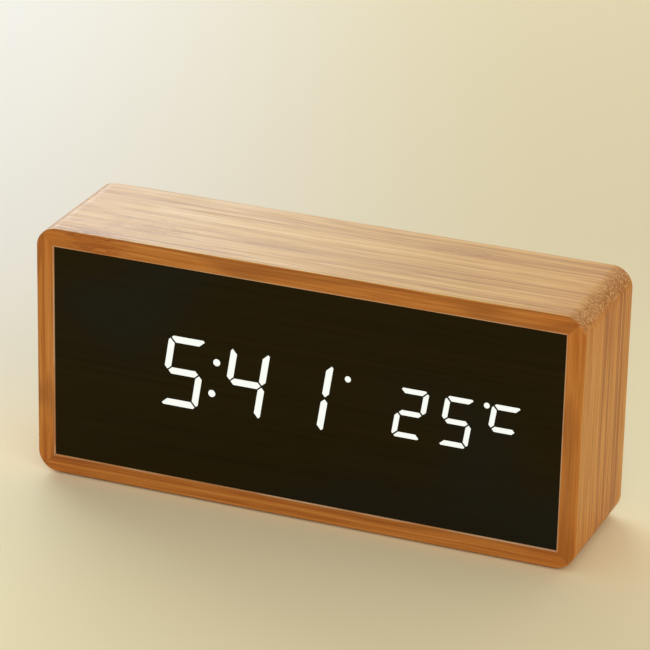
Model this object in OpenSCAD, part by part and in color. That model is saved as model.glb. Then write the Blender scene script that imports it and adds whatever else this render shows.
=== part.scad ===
// Desk clock with a glowing display: a bamboo sleeve of four mitred boards, a black front panel
// with seven-segment bars for time and temperature, and a black rear cover with its controls.
// Millimetres. The origin is at the middle of the base. +X is to the right seen from the front,
// the front faces -Y and +Z is up.

/* [Case] */
// Width of the bamboo case
case_w = 150; // [148:1:170]
// Height of the bamboo case without its feet
case_h = 69; // [69:1:80]
// Depth of the bamboo case
case_d = 38; // [38:0.5:46]
// Thickness of the four boards
board_t = 5; // [4.5:0.1:5.4]
// Radius of the four long outer corners
corner_r = 5.5; // [3:0.5:7]
// Height that the foot pads stand out of the base
foot_h = 0.5; // [0.5:0.1:2]
// Radius of a foot pad
foot_r = 4; // [3:0.5:6]

/* [Front panel] */
// Distance of the panel's face behind the front edges of the boards
panel_recess = 0.2; // [0.1:0.05:0.6]
// Thickness of the black panel
panel_t = 1.5; // [1:0.1:1.8]

/* [Time digits] */
// Distance between the middle lines of a digit's two upright bars
time_w = 9; // [8.5:0.1:9.6]
// Distance between the middle lines of a digit's top and middle bars
time_h = 8.95; // [8:0.05:10]
// Width of a bar
time_bar = 1.8; // [1.4:0.05:2.2]
// Distance from one digit to the next
time_pitch = 17.5; // [16:0.1:17.8]
// Middle of the last digit, from the middle of the case
time_last_x = 1.8; // [0:0.1:3]
// Diameter of the two dots between hours and minutes
colon_dot = 1.95; // [1.6:0.05:2.6]
// Diameter of the alarm dot after the last digit
alarm_dot_d = 1.65; // [1.4:0.05:2.2]

/* [Temperature digits] */
// Distance between the middle lines of a digit's two upright bars
temp_w = 6.7; // [6.2:0.1:7.2]
// Distance between the middle lines of a digit's top and middle bars
temp_h = 6.2; // [5.6:0.05:6.8]
// Width of a bar
temp_bar = 1.4; // [1.2:0.05:1.7]
// Distance from one digit to the next
temp_pitch = 12.45; // [11.5:0.05:12.6]
// Middle of the first digit, from the middle of the case
temp_first_x = 29.6; // [28.5:0.1:30.5]
// Diameter of the degree dot
degree_dot_d = 1.55; // [1.4:0.05:2]

/* [Digit shape] */
// Lean of the digits from upright, in degrees
slant = 8.4; // [0:0.1:10]
// Height of the digits' middle line above the middle of the case
digit_rise = 0.7; // [-1:0.1:1]

/* [Controls] */
// Radius of a push button
button_r = 2.6; // [2:0.1:3]
// Travel of a push button
button_travel = 0.4; // [0.2:0.1:0.5]
// Travel of the sound switch
switch_travel = 2; // [1.5:0.1:2.2]

/* [Battery bay] */
// Diameter of a cell
cell_d = 10.4; // [10.2:0.1:10.5]
// Length of a cell with its nub
cell_l = 44.5; // [43.5:0.1:44.5]
// Distance from one cell to the next
cell_pitch = 10.9; // [10.8:0.1:11.2]

/* [Hidden] */

$fn = 64;
eps = 0.01;             // overshoot that lets a cut run clear of a face
fit_gap = 0.1;          // gap between pieces that are put together by hand

// Case
mid_z = foot_h + case_h / 2;
in_w = case_w - 2 * board_t;
in_h = case_h - 2 * board_t;
front_y = -case_d / 2;
back_y = case_d / 2;
mitre_gap = 0.03;       // glue line between two boards
foot_x = case_w / 2 - 15;
foot_y = case_d / 2 - 7;

// Stack behind the front edge
panel_y = front_y + panel_recess;
film_y = panel_y + panel_t + 0.02;
film_t = 0.2;
reflector_y = film_y + film_t + 0.03;
reflector_d = 7.4;
reflector_w = 128;
reflector_h = 34;
board_y = reflector_y + reflector_d + 0.03;
pcb_t = 1.6;
board_back_y = board_y + pcb_t;
board_w = in_w - 6;
board_h = 52;

// Digits: width, height, bar width, rise of the outer tip, gap beside the 45 degree ends
digit_z = mid_z + digit_rise;
tip_share = 0.75;       // height of the pointed tip over the bar width
bar_gap = 0.32;
TIME = [time_w, time_h, time_bar, tip_share * time_bar, bar_gap];
TEMP = [temp_w, temp_h, temp_bar, tip_share * temp_bar, bar_gap];
ALL_BARS = "abcdefg";
TIME_LIT = ["", "acdfg", "bcfg", "bc"];
TEMP_LIT = ["abdeg", "acdfg"];
UNIT_LIT = "afg";
colon_rise = 4.45;
alarm_dot_at = [9.75, 6.4];
degree_dot_at = [-5.45, 6.1];
window_gap = 0.02;
cavity_gap = 0.03;
led_size = [1, 0.4, 0.5];

// Rails with the screw posts that hold the board and the rear cover
post_x = in_w / 2 - 6;
post_z = 23;
post_r = 3.2;
pilot_r = 1;
rail_t = 1.8;
rail_h = in_h - 4;

// Rear cover
cover_t = 2.4;
cover_y = back_y - 1.8;             // outer face of the cover
cover_in_y = cover_y - cover_t;
cover_gap = 0.2;
screw_hole_r = 1.25;
screw_head_r = 2.1;
screw_head_h = 1.3;
screw_r = 0.95;

// Battery bay and its door
bay_x = -36;
bay_l = cell_l + 5.9;
bay_h = 2 * cell_pitch + cell_d + 1.2;
bay_wall = 1.2;
cell_y = cover_y - 7.6;
bay_floor_y = cell_y - cell_d / 2 - 0.2;
contact_t = 0.4;
dimple_h = 0.6;
ledge = 0.9;
door_t = 1.6;
door_y = cover_y - 0.15;            // outer face of the door
hinge_y = door_y - door_t / 2;
hinge_x = bay_x - bay_l / 2 - 0.8;
hinge_pin_r = 0.5;
hinge_bore_r = 0.56;
hinge_pin_l = 0.9;
door_gap = 0.2;
door_end_x = bay_x + bay_l / 2 + 0.75;
door_h = bay_h + 2 * ledge - 2 * door_gap;
latch_w = 12;
latch_l = 8;

// Button board, and the controls on it
switch_board_y = cover_in_y - 8.2;  // front face of the button board
switch_face_y = switch_board_y + pcb_t;
switch_board_at = [33.25, 0];
switch_board_size = [49.5, 34];
BUTTON_X = [39, 27, 15];            // set, up, down
button_z = 10;
control_z = -10;
socket_x = 17;
mic_x = 28;
sound_x = 40;
buzzer_at = [52, 10];
bead_at = [52, 2];
STANDOFFS = [[12, 0], [33.5, 0], [54.5, -6]];
standoff_r = 2.4;
tact_h = 3.5;
tact_floor = 0.6;
plunger_r = 1.7;
plunger_top = 5;
button_out = 1.2;                   // height of a button above the cover

// Ribbon cable between the two boards
ribbon_w = 10;
ribbon_t = 0.8;
ribbon_r = 1.6;
ribbon_from_x = 20;
ribbon_to_x = 42;
plug_h = 4;

// ---------------------------------------------------------------- helpers

// Extrudes a 2D outline drawn in X and Z from y0 to y1
module slab(y0, y1) {
    translate([0, y1, 0])
        rotate([90, 0, 0])
            linear_extrude(y1 - y0)
                children();
}

// Box between two corners
module block(low, high) {
    translate(low)
        cube(high - low);
}

// Round bar along Y
module rod_y(x, z, r, y0, y1) {
    translate([x, y0, z])
        rotate([-90, 0, 0])
            cylinder(r = r, h = y1 - y0);
}

// Rectangle with round corners
module rounded_rect(w, h, r) {
    square([w - 2 * r, h], center = true);
    square([w, h - 2 * r], center = true);
    for (sx = [-1, 1])
        for (sz = [-1, 1])
            translate([sx * (w / 2 - r), sz * (h / 2 - r)])
                circle(r);
}

// Round wire through a list of points, with a ball at each bend
module wire(points, r) {
    for (i = [0 : len(points) - 2]) {
        step = points[i + 1] - points[i];
        reach = norm(step);
        translate(points[i])
            rotate([0, acos(step[2] / reach), atan2(step[1], step[0])])
                cylinder(r = r, h = reach, $fn = 24);
    }
    for (i = [1 : len(points) - 2])
        translate(points[i])
            sphere(r = r, $fn = 24);
}

// ---------------------------------------------------------------- digit outlines

function flipped(points, sx, sz) = [for (p = points) [p[0] * sx, p[1] * sz]];

function slanted(points) = [for (p = points) [p[0] + p[1] * tan(slant), p[1]]];

function grown(size, by) =
    [size[0], size[1], size[2] + 2 * by, size[3] + by, size[4] - by * sqrt(2)];

// Half the length of the inner edge of a level bar
function level_half(size) = size[0] / 2 - size[4] - size[2] / 2;

// Top bar: a long outer edge, 45 degree ends, and small cuts beside its tips
function top_bar(size) =
    let (h = size[1], t = size[2], m = size[3], x = level_half(size)) [
        [-x, h - t / 2],
        [x, h - t / 2],
        [x + m, h - t / 2 + m],
        [x + 2 * m - t, h + t / 2],
        [t - 2 * m - x, h + t / 2],
        [-x - m, h - t / 2 + m]
    ];

// Middle bar: pointed at both ends
function middle_bar(size) =
    let (t = size[2], x = level_half(size)) [
        [-x - t / 2, 0],
        [-x, t / 2],
        [x, t / 2],
        [x + t / 2, 0],
        [x, -t / 2],
        [-x, -t / 2]
    ];

// Upper left bar: pointed at the middle line, cut at 45 degrees under the top bar
function side_bar(size) =
    let (x = -size[0] / 2, t = size[2], m = size[3], g = size[4], top = size[1] - g - t / 2) [
        [x, g],
        [x + t / 2, g + t / 2],
        [x + t / 2, top],
        [x + t / 2 - m, top + m],
        [x - t / 2, top + 2 * m - t],
        [x - t / 2, g + t / 2]
    ];

function bar_outline(name, size) = slanted(
    name == "a" ? top_bar(size) :
    name == "b" ? flipped(side_bar(size), -1, 1) :
    name == "c" ? flipped(side_bar(size), -1, -1) :
    name == "d" ? flipped(top_bar(size), 1, -1) :
    name == "e" ? flipped(side_bar(size), 1, -1) :
    name == "f" ? side_bar(size) :
    middle_bar(size)
);

function time_x(i) = time_last_x - (3 - i) * time_pitch;

function temp_x(i) = temp_first_x + i * temp_pitch;

function middle_of(points) = [for (k = [0, 1]) vector_sum([for (p = points) p[k]]) / len(points)];

function vector_sum(values, i = 0) = i == len(values) ? 0 : values[i] + vector_sum(values, i + 1);

function leaning(at) = [at[0] + at[1] * tan(slant), at[1]];

// The named bars of one digit
module digit(x, size, names) {
    for (name = names)
        translate([x, digit_z])
            polygon(bar_outline(name, size));
}

// Round dots beside the digits
module colon_outline(by) {
    for (side = [-1, 1])
        translate([(time_x(1) + time_x(2)) / 2, digit_z] + leaning([0, side * colon_rise]))
            circle(d = colon_dot + 2 * by);
}

module alarm_outline(by) {
    translate([time_x(3), digit_z] + leaning(alarm_dot_at))
        circle(d = alarm_dot_d + 2 * by);
}

module degree_outline(by) {
    translate([temp_x(2), digit_z] + leaning(degree_dot_at))
        circle(d = degree_dot_d + 2 * by);
}

// ---------------------------------------------------------------- case

// The mitred share of the sleeve between two inner corners, as one wedge in X and Z
module mitre_wedge(half_w, half_h, reach) {
    polygon([
        [-half_w + mitre_gap, half_h],
        [half_w - mitre_gap, half_h],
        [half_w - mitre_gap + reach, half_h + reach],
        [-half_w + mitre_gap - reach, half_h + reach]
    ]);
}

// One board: the sleeve's outline cut by the wedge of its side
module sleeve_board(turn, half_w, half_h) {
    slab(front_y, back_y)
        translate([0, mid_z])
            intersection() {
                rounded_rect(case_w, case_h, corner_r);
                rotate(turn)
                    mitre_wedge(half_w, half_h, 2 * board_t);
            }
}

module case_top() {
    color("burlywood")
        sleeve_board(0, in_w / 2, in_h / 2);
}

module case_bottom() {
    color("tan")
        sleeve_board(180, in_w / 2, in_h / 2);
}

module case_left() {
    color("peru")
        sleeve_board(90, in_h / 2, in_w / 2);
}

module case_right() {
    color("peru")
        sleeve_board(-90, in_h / 2, in_w / 2);
}

module feet() {
    color("dimgray")
        for (sx = [-1, 1])
            for (sy = [-1, 1])
                translate([sx * foot_x, sy * foot_y, 0])
                    cylinder(r = foot_r, h = foot_h);
}

// ---------------------------------------------------------------- display

// All the lit bars and dots, grown by a gap, as the windows of the panel
module lit_outlines(by) {
    for (i = [0 : 3])
        digit(time_x(i), grown(TIME, by), TIME_LIT[i]);
    for (i = [0 : 1])
        digit(temp_x(i), grown(TEMP, by), TEMP_LIT[i]);
    digit(temp_x(2), grown(TEMP, by), UNIT_LIT);
    colon_outline(by);
    alarm_outline(by);
    degree_outline(by);
}

module front_panel() {
    color("#1c1810")
        difference() {
            slab(panel_y, panel_y + panel_t)
                translate([0, mid_z])
                    square([in_w - 2 * fit_gap, in_h - 2 * fit_gap], center = true);
            slab(panel_y - eps, panel_y + panel_t + eps)
                lit_outlines(window_gap);
        }
}

module time_segments() {
    color("white")
        slab(panel_y, panel_y + panel_t)
            for (i = [0 : 3])
                digit(time_x(i), TIME, TIME_LIT[i]);
}

module colon_dots() {
    color("white")
        slab(panel_y, panel_y + panel_t)
            colon_outline(0);
}

module alarm_dot() {
    color("white")
        slab(panel_y, panel_y + panel_t)
            alarm_outline(0);
}

module temperature_segments() {
    color("white")
        slab(panel_y, panel_y + panel_t)
            for (i = [0 : 1])
                digit(temp_x(i), TEMP, TEMP_LIT[i]);
}

module unit_segments() {
    color("white")
        slab(panel_y, panel_y + panel_t) {
            digit(temp_x(2), TEMP, UNIT_LIT);
            degree_outline(0);
        }
}

module diffuser_film() {
    color("whitesmoke")
        slab(film_y, film_y + film_t)
            translate([0, mid_z])
                square([reflector_w, reflector_h], center = true);
}

// White block with one light well behind every bar and dot, lit or not
module reflector_block() {
    color("gainsboro")
        difference() {
            slab(reflector_y, reflector_y + reflector_d)
                translate([0, mid_z])
                    square([reflector_w, reflector_h], center = true);
            slab(reflector_y - eps, reflector_y + reflector_d + eps) {
                for (i = [0 : 3])
                    digit(time_x(i), grown(TIME, cavity_gap), ALL_BARS);
                for (i = [0 : 2])
                    digit(temp_x(i), grown(TEMP, cavity_gap), ALL_BARS);
                colon_outline(cavity_gap);
                alarm_outline(cavity_gap);
                degree_outline(cavity_gap);
            }
        }
}

module display_board() {
    color("darkgreen")
        difference() {
            slab(board_y, board_back_y)
                translate([0, mid_z])
                    square([board_w, board_h], center = true);
            for (sx = [-1, 1])
                for (sz = [-1, 1])
                    rod_y(
                        sx * post_x, mid_z + sz * post_z,
                        screw_hole_r, board_y - eps, board_back_y + eps
                    );
        }
}

// One light emitter on the display board, turned to lie along its bar
module led(at, turn) {
    translate([at[0], board_y - led_size[1], at[1]])
        rotate([0, turn, 0])
            translate([-led_size[0] / 2, 0, -led_size[2] / 2])
                cube(led_size);
}

module digit_leds(x, size) {
    for (name = ALL_BARS) {
        level = name == "a" || name == "d" || name == "g";
        led([x, digit_z] + middle_of(bar_outline(name, size)), level ? 0 : slant - 90);
    }
}

module led_chips() {
    color("khaki") {
        for (i = [0 : 3])
            digit_leds(time_x(i), TIME);
        for (i = [0 : 2])
            digit_leds(temp_x(i), TEMP);
        for (side = [-1, 1])
            led([(time_x(1) + time_x(2)) / 2, digit_z] + leaning([0, side * colon_rise]), 0);
        led([time_x(3), digit_z] + leaning(alarm_dot_at), 0);
        led([temp_x(2), digit_z] + leaning(degree_dot_at), 0);
    }
}

// Flat chip with a row of bent legs along each long side, on the back of the display board
module flat_chip(x, z, body_l, body_w, pins) {
    pitch = 1.27;
    leg_w = 0.42;
    leg_out = 1.3;
    leg_t = 0.25;
    body_h = 2.2;
    lift = 0.15;
    translate([x, board_back_y, mid_z + z]) {
        block([-body_l / 2, lift, -body_w / 2], [body_l / 2, lift + body_h, body_w / 2]);
        for (i = [0 : pins / 2 - 1])
            for (side = [0, 1])
                mirror([0, 0, side])
                    translate([(i - (pins / 2 - 1) / 2) * pitch, 0, body_w / 2]) {
                        block([-leg_w / 2, 0, 0.5], [leg_w / 2, leg_t, leg_out]);
                        block([-leg_w / 2, 0, 0.5], [leg_w / 2, body_h / 2 + leg_t, 0.5 + leg_t]);
                        block(
                            [-leg_w / 2, body_h / 2, -0.2],
                            [leg_w / 2, body_h / 2 + leg_t, 0.5 + leg_t]
                        );
                    }
    }
}

module controller_chip() {
    color("#202020")
        flat_chip(-38, 6, 17.9, 7.5, 28);
}

module driver_chip() {
    color("#242424")
        flat_chip(-8, -8, 15.4, 7.5, 24);
}

// Low metal can with round ends on its base
module crystal() {
    can_l = 10.5;
    can_w = 3.8;
    rim = 0.5;
    color("silver")
        translate([-50, board_back_y, mid_z - 12])
            rotate([-90, 0, 0]) {
                linear_extrude(0.6)
                    rounded_rect(can_l + 2 * rim, can_w + 2 * rim, can_w / 2 + rim - eps);
                linear_extrude(3.5)
                    rounded_rect(can_l, can_w, can_w / 2 - eps);
            }
}

module capacitors() {
    can_r = 2.5;
    can_h = 6.4;
    bead_r = 2.3;
    color("midnightblue")
        for (x = [-58, -20, 6])
            difference() {
                rod_y(x, mid_z - 20, can_r, board_back_y, board_back_y + can_h);
                translate([x, board_back_y + 1.2, mid_z - 20])
                    rotate([-90, 0, 0])
                        difference() {
                            cylinder(r = can_r + eps, h = 0.5);
                            cylinder(r = bead_r, h = 0.5);
                        }
            }
}

module resistors() {
    size = [2, 0.55, 1.25];
    step = 4;
    color("#303030")
        for (i = [0 : 9])
            translate([-30 + i * step, board_back_y, mid_z + 18])
                cube(size);
}

// Countersunk or pan head screw along -Y from the face at y, with a cross slot
module cross_screw(x, z, y, head_r, head_h, length, countersunk) {
    slot_w = 0.5;
    slot_l = 1.9;
    slot_d = 0.8;
    translate([x, y, z])
        rotate([90, 0, 0])
            difference() {
                union() {
                    cylinder(r1 = head_r, r2 = countersunk ? screw_r : head_r, h = head_h);
                    cylinder(r = screw_r, h = length);
                }
                for (turn = [0, 90])
                    rotate(turn)
                        translate([-slot_l / 2, -slot_w / 2, -eps])
                            cube([slot_l, slot_w, slot_d + eps]);
            }
}

module display_board_screws() {
    head_h = 1.2;
    color("silver")
        for (sx = [-1, 1])
            for (sz = [-1, 1])
                mirror([0, 1, 0])
                    cross_screw(
                        sx * post_x, mid_z + sz * post_z, head_h - board_y, 1.9, head_h, 8, false
                    );
}

// Plastic rail glued to a side board, with two posts that run from the display board to the cover
module rail(side) {
    wall_x = in_w / 2 - fit_gap;
    y0 = board_back_y + 0.02;
    y1 = cover_in_y - 0.02;
    mirror([side, 0, 0])
        difference() {
            union() {
                block([wall_x - rail_t, y0, mid_z - rail_h / 2], [wall_x, y1, mid_z + rail_h / 2]);
                for (sz = [-1, 1]) {
                    rod_y(post_x, mid_z + sz * post_z, post_r, y0, y1);
                    translate([post_x, y0, mid_z + sz * post_z - 1])
                        cube([wall_x - post_x - rail_t / 2, y1 - y0, 2]);
                }
            }
            for (sz = [-1, 1])
                rod_y(post_x, mid_z + sz * post_z, pilot_r, y0 - eps, y1 + eps);
        }
}

module left_rail() {
    color("#2a2a2a")
        rail(1);
}

module right_rail() {
    color("#2a2a2a")
        rail(0);
}

// ---------------------------------------------------------------- rear cover

bay_x0 = bay_x - bay_l / 2;
bay_x1 = bay_x + bay_l / 2;

// Hole for a cover screw, with its countersink
module cover_screw_hole(x, z) {
    rod_y(x, z, screw_hole_r, cover_in_y - eps, cover_y + eps);
    translate([x, cover_y + eps, z])
        rotate([90, 0, 0])
            cylinder(r1 = screw_head_r + 0.1, r2 = screw_hole_r, h = screw_head_h);
}

// Five slots that let room air reach the sensor and the buzzer's sound out
module vent_slots() {
    slot_l = 9;
    slot_w = 1.2;
    pitch = 2.6;
    for (i = [-2 : 2])
        translate([buzzer_at[0], mid_z + 8 + i * pitch])
            rounded_rect(slot_l, slot_w, slot_w / 2 - eps);
}

module rear_cover() {
    bay_low = [bay_x0 - bay_wall, bay_floor_y - bay_wall, mid_z - bay_h / 2 - bay_wall];
    bay_high = [bay_x1 + bay_wall, cover_y - eps, mid_z + bay_h / 2 + bay_wall];
    recess_low = [
        hinge_x - door_t / 2 - door_gap,
        hinge_y - door_t / 2 - 0.1,
        mid_z - door_h / 2 - door_gap
    ];
    recess_high = [door_end_x + door_gap, cover_y + eps, mid_z + door_h / 2 + door_gap];
    pocket_d = 1;
    well_d = 0.6;
    well_w = 8.8;
    tab_w = 3;
    color("#26262a")
        difference() {
            union() {
                slab(cover_in_y, cover_y)
                    translate([0, mid_z])
                        rounded_rect(in_w - 2 * cover_gap, in_h - 2 * cover_gap, 0.5);
                block(bay_low, bay_high);
                for (at = STANDOFFS)
                    rod_y(at[0], mid_z + at[1], standoff_r, switch_face_y + 0.02, cover_in_y + eps);
            }
            block(
                [bay_x0, bay_floor_y, mid_z - bay_h / 2],
                [bay_x1, cover_y + eps, mid_z + bay_h / 2]
            );
            block(recess_low, recess_high);
            translate([hinge_x, hinge_y, mid_z - door_h / 2 - hinge_pin_l - 0.1])
                cylinder(r = hinge_bore_r, h = door_h + 2 * hinge_pin_l + 0.2);
            for (x = BUTTON_X)
                rod_y(x, mid_z + button_z, button_r + 0.15, cover_in_y - eps, cover_y + eps);
            slab(cover_y - well_d, cover_y + eps)
                translate([BUTTON_X[1], mid_z + button_z])
                    rounded_rect(BUTTON_X[0] - BUTTON_X[2] + well_w, well_w, well_w / 2 - eps);
            slab(cover_y - pocket_d, cover_y + eps)
                translate([sound_x, mid_z + control_z])
                    rounded_rect(9, 5, 1);
            slab(cover_in_y - eps, cover_y)
                translate([sound_x, mid_z + control_z])
                    square([switch_travel + 3.4, 2.6], center = true);
            slab(cover_in_y - eps, cover_y + eps)
                translate([socket_x, mid_z + control_z])
                    rounded_rect(8.6, 3.6, 0.8);
            rod_y(mic_x, mid_z + control_z, 0.7, cover_in_y - eps, cover_y + eps);
            slab(cover_in_y - eps, cover_y + eps)
                vent_slots();
            for (sx = [-1, 1])
                for (sz = [-1, 1])
                    cover_screw_hole(sx * post_x, mid_z + sz * post_z);
            for (at = STANDOFFS)
                rod_y(at[0], mid_z + at[1], pilot_r, switch_face_y, cover_in_y - 0.4);
            block(
                [bay_x0 - bay_wall - eps, cell_y - 0.5, mid_z + cell_pitch - tab_w / 2 - fit_gap],
                [bay_x0 + eps, cell_y + 0.5, mid_z + cell_pitch + tab_w / 2 + fit_gap]
            );
            block(
                [bay_x1 - eps, cell_y - 0.5, mid_z - cell_pitch - tab_w / 2 - fit_gap],
                [bay_x1 + bay_wall + eps, cell_y + 0.5, mid_z - cell_pitch + tab_w / 2 + fit_gap]
            );
        }
}

module rear_cover_screws() {
    color("silver")
        for (sx = [-1, 1])
            for (sz = [-1, 1])
                cross_screw(
                    sx * post_x, mid_z + sz * post_z,
                    cover_y - 0.05, screw_head_r, screw_head_h, 10, true
                );
}

// Door with a round hinge end, two hinge pins, two ribs that steady the cells, and a latch tongue
module battery_door() {
    slit = 0.6;
    y0 = door_y - door_t;
    z0 = mid_z - door_h / 2;
    z1 = mid_z + door_h / 2;
    rib_h = 0.4;
    rib_t = 1;
    color("#2c2c30")
        difference() {
            union() {
                block([hinge_x, y0, z0], [door_end_x, door_y, z1]);
                translate([hinge_x, hinge_y, z0])
                    cylinder(d = door_t, h = door_h);
                translate([hinge_x, hinge_y, z0 - hinge_pin_l])
                    cylinder(r = hinge_pin_r, h = door_h + 2 * hinge_pin_l);
                for (side = [-1, 1])
                    block(
                        [bay_x0 + 4, y0 - rib_h, mid_z + side * cell_pitch - rib_t / 2],
                        [bay_x1 - 4, y0 + eps, mid_z + side * cell_pitch + rib_t / 2]
                    );
                block([bay_x1 - 1, y0 - 1.2, mid_z - 3], [bay_x1 - 0.2, y0 + eps, mid_z + 3]);
            }
            for (side = [-1, 1])
                translate([door_end_x - latch_l, y0 - eps, mid_z + side * latch_w / 2 - slit / 2])
                    cube([latch_l + eps, door_t + 2 * eps, slit]);
            for (i = [0 : 3])
                block(
                    [door_end_x - 5.6 + i * 1.3, door_y - 0.4, mid_z - 4],
                    [door_end_x - 5 + i * 1.3, door_y + eps, mid_z + 4]
                );
        }
}

// ---------------------------------------------------------------- cells and contacts

// Which end of each cell holds the nub: -1 is the end at the hinge
CELL_SIDES = [-1, 1, -1];
nub_r = 1.9;
nub_h = 0.9;
nub_x = bay_l / 2 - contact_t - dimple_h - 0.05;
spring_l = bay_l / 2 - contact_t - (cell_l - nub_x) - 0.05;

function cell_z(i) = mid_z + (1 - i) * cell_pitch;

module battery_cells() {
    color("goldenrod")
        for (i = [0 : 2])
            translate([bay_x, cell_y, cell_z(i)])
                rotate([0, CELL_SIDES[i] * 90, 0])
                    translate([0, 0, nub_x - cell_l]) {
                        cylinder(d = cell_d, h = cell_l - nub_h);
                        cylinder(r = nub_r, h = cell_l);
                    }
}

// Points on a ring of wire around a conical coil
function coil_ring(turns, share, wire_r, r0, r1, length, sides) =
    let (angle = 360 * turns * share, r = r0 + (r1 - r0) * share, z = length * share)
    [for (k = [0 : sides - 1])
        let (a = 360 * k / sides, out = r + wire_r * cos(a))
        [out * cos(angle), out * sin(angle), z + wire_r * sin(a)]
    ];

// Conical coil spring that stands on z = 0
module coil_spring(length) {
    turns = 4;
    sides = 8;
    rings = 64;
    wire_r = 0.3;
    points = [
        for (i = [0 : rings])
            each coil_ring(turns, i / rings, wire_r, 3.4, 2, length - 2 * wire_r, sides)
    ];
    walls = [
        for (i = [0 : rings - 1])
            for (k = [0 : sides - 1])
                let (a = i * sides + k, b = i * sides + (k + 1) % sides)
                each [[a, b + sides, a + sides], [a, b, b + sides]]
    ];
    start = [for (k = [sides - 1 : -1 : 0]) k];
    finish = [for (k = [0 : sides - 1]) rings * sides + k];
    translate([0, 0, wire_r])
        polyhedron(points = points, faces = concat(walls, [start], [finish]));
}

// Contact at the end of a cell: side is the end of the bay, -1 at the hinge
module spring_end(side, z) {
    translate([bay_x + side * (bay_l / 2 - contact_t), cell_y, z])
        rotate([0, -side * 90, 0])
            coil_spring(spring_l);
}

module dimple_end(side, z) {
    translate([bay_x + side * (bay_l / 2 - contact_t), cell_y, z])
        rotate([0, -side * 90, 0])
            translate([0, 0, -eps])
                cylinder(r1 = 2.4, r2 = 1.4, h = dimple_h + eps);
}

// Flat plate against the end wall of the bay, over the cells from z0 to z1
module contact_plate(side, z0, z1) {
    half = 4.2;
    x_in = bay_l / 2 - contact_t;
    x_out = bay_l / 2 - 0.02;
    translate([bay_x, 0, 0])
        mirror([side < 0 ? 1 : 0, 0, 0])
            block([x_in, cell_y - half, z0 - half], [x_out, cell_y + half, z1 + half]);
}

// Tab that carries the plate's current through the wall of the bay
module terminal_tab(side, z) {
    half_w = 1.5;
    translate([bay_x, 0, 0])
        mirror([side < 0 ? 1 : 0, 0, 0])
            block(
                [bay_l / 2 - contact_t, cell_y - 0.2, z - half_w],
                [bay_l / 2 + bay_wall + 1.5, cell_y + 0.2, z + half_w]
            );
}

module positive_terminal() {
    color("silver") {
        contact_plate(-1, cell_z(0), cell_z(0));
        dimple_end(-1, cell_z(0));
        terminal_tab(-1, cell_z(0));
    }
}

module negative_terminal() {
    color("silver") {
        contact_plate(1, cell_z(2), cell_z(2));
        spring_end(1, cell_z(2));
        terminal_tab(1, cell_z(2));
    }
}

module right_link_contact() {
    color("silver") {
        contact_plate(1, cell_z(1), cell_z(0));
        dimple_end(1, cell_z(1));
        spring_end(1, cell_z(0));
    }
}

module left_link_contact() {
    color("silver") {
        contact_plate(-1, cell_z(2), cell_z(1));
        dimple_end(-1, cell_z(2));
        spring_end(-1, cell_z(1));
    }
}

lead_r = 0.6;
lead_y = bay_floor_y - bay_wall - 1.4;      // height of the leads in front of the bay
pad_x = 12;
pad_y = switch_board_y - 0.02;

module battery_lead_red() {
    start_x = bay_x0 - bay_wall - 1.5 - lead_r - 0.02;
    z = cell_z(0);
    color("red")
        wire([
            [start_x, cell_y, z],
            [start_x, lead_y, z],
            [pad_x, lead_y, z],
            [pad_x, pad_y, z]
        ], lead_r);
}

module battery_lead_black() {
    start_x = bay_x1 + bay_wall + 1.5 + lead_r + 0.02;
    z = cell_z(2);
    color("#181818")
        wire([
            [start_x, cell_y, z],
            [start_x, lead_y, z],
            [pad_x, lead_y, z],
            [pad_x, pad_y, z]
        ], lead_r);
}

// ---------------------------------------------------------------- button board and controls

module button_board() {
    color("darkgreen")
        difference() {
            slab(switch_board_y, switch_face_y)
                translate([switch_board_at[0], mid_z + switch_board_at[1]])
                    square(switch_board_size, center = true);
            for (at = STANDOFFS)
                rod_y(at[0], mid_z + at[1], screw_hole_r, switch_board_y - eps, switch_face_y + eps);
        }
}

module button_board_screws() {
    head_h = 1.2;
    color("silver")
        for (at = STANDOFFS)
            mirror([0, 1, 0])
                cross_screw(at[0], mid_z + at[1], head_h - switch_board_y, 1.9, head_h, 7, false);
}

module tact_switches() {
    half = 3;
    tab = [1, 0.3, 0.7];
    color("#3a3a3a")
        for (x = BUTTON_X)
            translate([x, switch_face_y + 0.02, mid_z + button_z])
                difference() {
                    union() {
                        block([-half, 0, -half], [half, tact_h, half]);
                        for (sx = [-1, 1])
                            for (sz = [-1, 1])
                                translate([sx * (half + tab[0] / 2), tab[1] / 2, sz * 2.2])
                                    cube([tab[0] + eps, tab[1], tab[2]], center = true);
                    }
                    rod_y(0, 0, plunger_r + 0.1, tact_floor, tact_h + eps);
                }
}

// Plunger of a tact switch, under its button, with room below it for its travel
module plunger(x) {
    foot = tact_floor + button_travel + 0.2;
    color("ivory")
        rod_y(x, mid_z + button_z, plunger_r, switch_face_y + foot, switch_face_y + plunger_top);
}

// Push button: a stem with a flange inside the cover and a shallow dish in its end
module push_button(x) {
    flange_r = button_r + 0.9;
    flange_t = 0.9;
    tip_y = cover_y + button_out;
    dish_r = 9;
    color("#3c3c42")
        difference() {
            union() {
                rod_y(x, mid_z + button_z, button_r, switch_face_y + plunger_top + 0.02, tip_y);
                rod_y(x, mid_z + button_z, flange_r, cover_in_y - 0.1 - flange_t, cover_in_y - 0.1);
            }
            translate([x, tip_y + dish_r - 0.3, mid_z + button_z])
                sphere(r = dish_r, $fn = 96);
        }
}

module set_plunger() {
    plunger(BUTTON_X[0]);
}

module up_plunger() {
    plunger(BUTTON_X[1]);
}

module down_plunger() {
    plunger(BUTTON_X[2]);
}

module set_button() {
    push_button(BUTTON_X[0]);
}

module up_button() {
    push_button(BUTTON_X[1]);
}

module down_button() {
    push_button(BUTTON_X[2]);
}

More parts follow.
